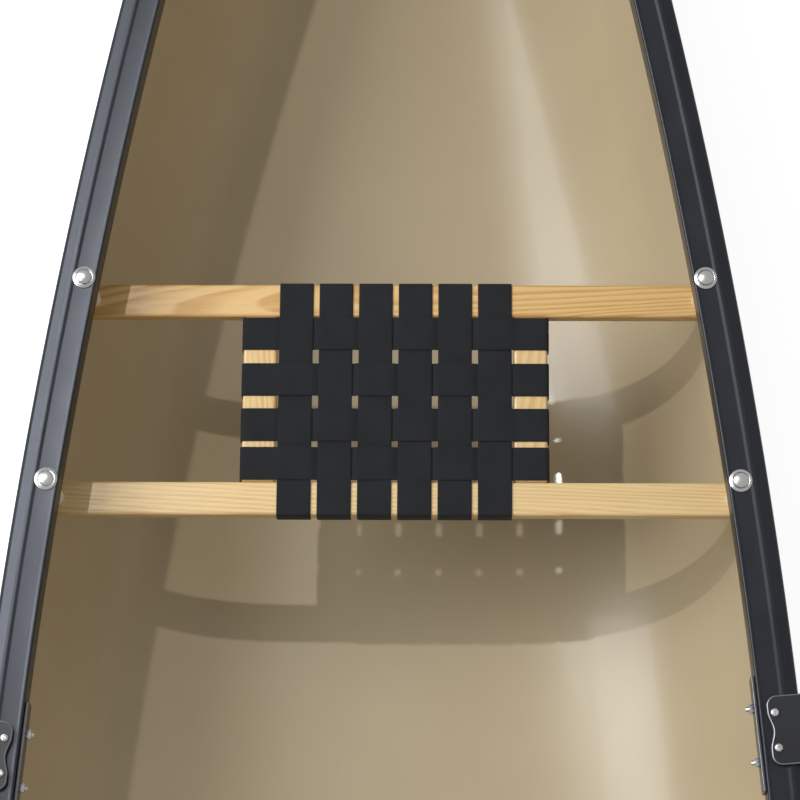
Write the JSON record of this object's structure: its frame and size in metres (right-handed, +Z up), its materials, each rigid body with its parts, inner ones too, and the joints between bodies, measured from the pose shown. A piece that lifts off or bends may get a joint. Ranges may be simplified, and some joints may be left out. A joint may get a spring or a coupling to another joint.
{
  "type": "canoe",
  "caption": "Open tandem canoe with a tan moulded hull, black gunwales, webbed ash seats, a portage yoke and a pair of swivelling oarlocks.",
  "frame": {"origin": "amidships on the centreline, on the flat bottom that the hull rests on", "axes": "+X towards the bow, +Y to port, +Z up"},
  "size_m": [4.88, 0.9477, 0.5199],
  "materials": {
    "hull_laminate": "satin-gloss tan inside, deep green gloss outside",
    "black_vinyl": "satin extruded black vinyl",
    "mill_aluminium": "mill finish",
    "deck_moulding": "fine pebbled moulding",
    "deck_screw_black": "black oxide",
    "oiled_ash": "oiled ash",
    "varnished_ash": "satin varnished ash",
    "dowel_wood": "plain birch dowel",
    "black_webbing": "ribbed nylon webbing",
    "staple_wire": "bright wire",
    "stainless": "polished stainless",
    "white_nylon": "natural white nylon",
    "coated_casting": "black powder coat",
    "dark_plate": "dark coated flat bar",
    "bush_metal": "bright turned metal",
    "galvanised": "bright galvanised"
  },
  "bodies": {
    "canoe": {"hull": "hull_laminate", "port_gunwale": "black_vinyl", "starboard_gunwale": "black_vinyl", "port_gunwale_insert": "mill_aluminium", "starboard_gunwale_insert": "mill_aluminium", "bow_deck": "deck_moulding", "stern_deck": "deck_moulding", "deck_screws": "deck_screw_black", "bow_carry_handle": "oiled_ash", "stern_carry_handle": "oiled_ash", "handle_bolts": "stainless", "handle_nuts": "stainless", "center_yoke": "oiled_ash", "yoke_bolts": "stainless", "yoke_nuts": "stainless", "bow_seat_front_rail": "varnished_ash", "bow_seat_rear_rail": "varnished_ash", "bow_seat_port_side_rail": "varnished_ash", "bow_seat_starboard_side_rail": "varnished_ash", "bow_seat_dowels": "dowel_wood", "bow_seat_lengthwise_webbing": "black_webbing", "bow_seat_crosswise_webbing": "black_webbing", "bow_seat_staples": "staple_wire", "bow_seat_bolts": "stainless", "bow_seat_dished_washers": "stainless", "bow_seat_spacers": "white_nylon", "bow_seat_nuts": "stainless", "stern_seat_front_rail": "varnished_ash", "stern_seat_rear_rail": "varnished_ash", "stern_seat_port_side_rail": "varnished_ash", "stern_seat_starboard_side_rail": "varnished_ash", "stern_seat_dowels": "dowel_wood", "stern_seat_lengthwise_webbing": "black_webbing", "stern_seat_crosswise_webbing": "black_webbing", "stern_seat_staples": "staple_wire", "stern_seat_bolts": "stainless", "stern_seat_dished_washers": "stainless", "stern_seat_spacers": "white_nylon", "stern_seat_nuts": "stainless", "port_oarlock_bracket": "coated_casting", "starboard_oarlock_bracket": "coated_casting", "port_backing_plate": "dark_plate", "starboard_backing_plate": "dark_plate", "bracket_screws": "stainless", "bracket_bolts": "stainless", "bracket_nuts": "stainless", "port_socket_bush": "bush_metal", "starboard_socket_bush": "bush_metal"},
    "port_oarlock": {"port_oarlock": "galvanised", "port_keeper_pin": "stainless"},
    "starboard_oarlock": {"starboard_oarlock": "galvanised", "starboard_keeper_pin": "stainless"}
  },
  "joints": [
    {"name": "port_oarlock_swivel", "type": "hinge", "parent": "canoe", "child": "port_oarlock", "pos_m": [0.53839, 0.4582, 0.35903], "axis": [0, 0, 1], "continuous": true},
    {"name": "starboard_oarlock_swivel", "type": "hinge", "parent": "canoe", "child": "starboard_oarlock", "pos_m": [0.56947, -0.45553, 0.3592], "axis": [0, 0, 1], "continuous": true}
  ]
}
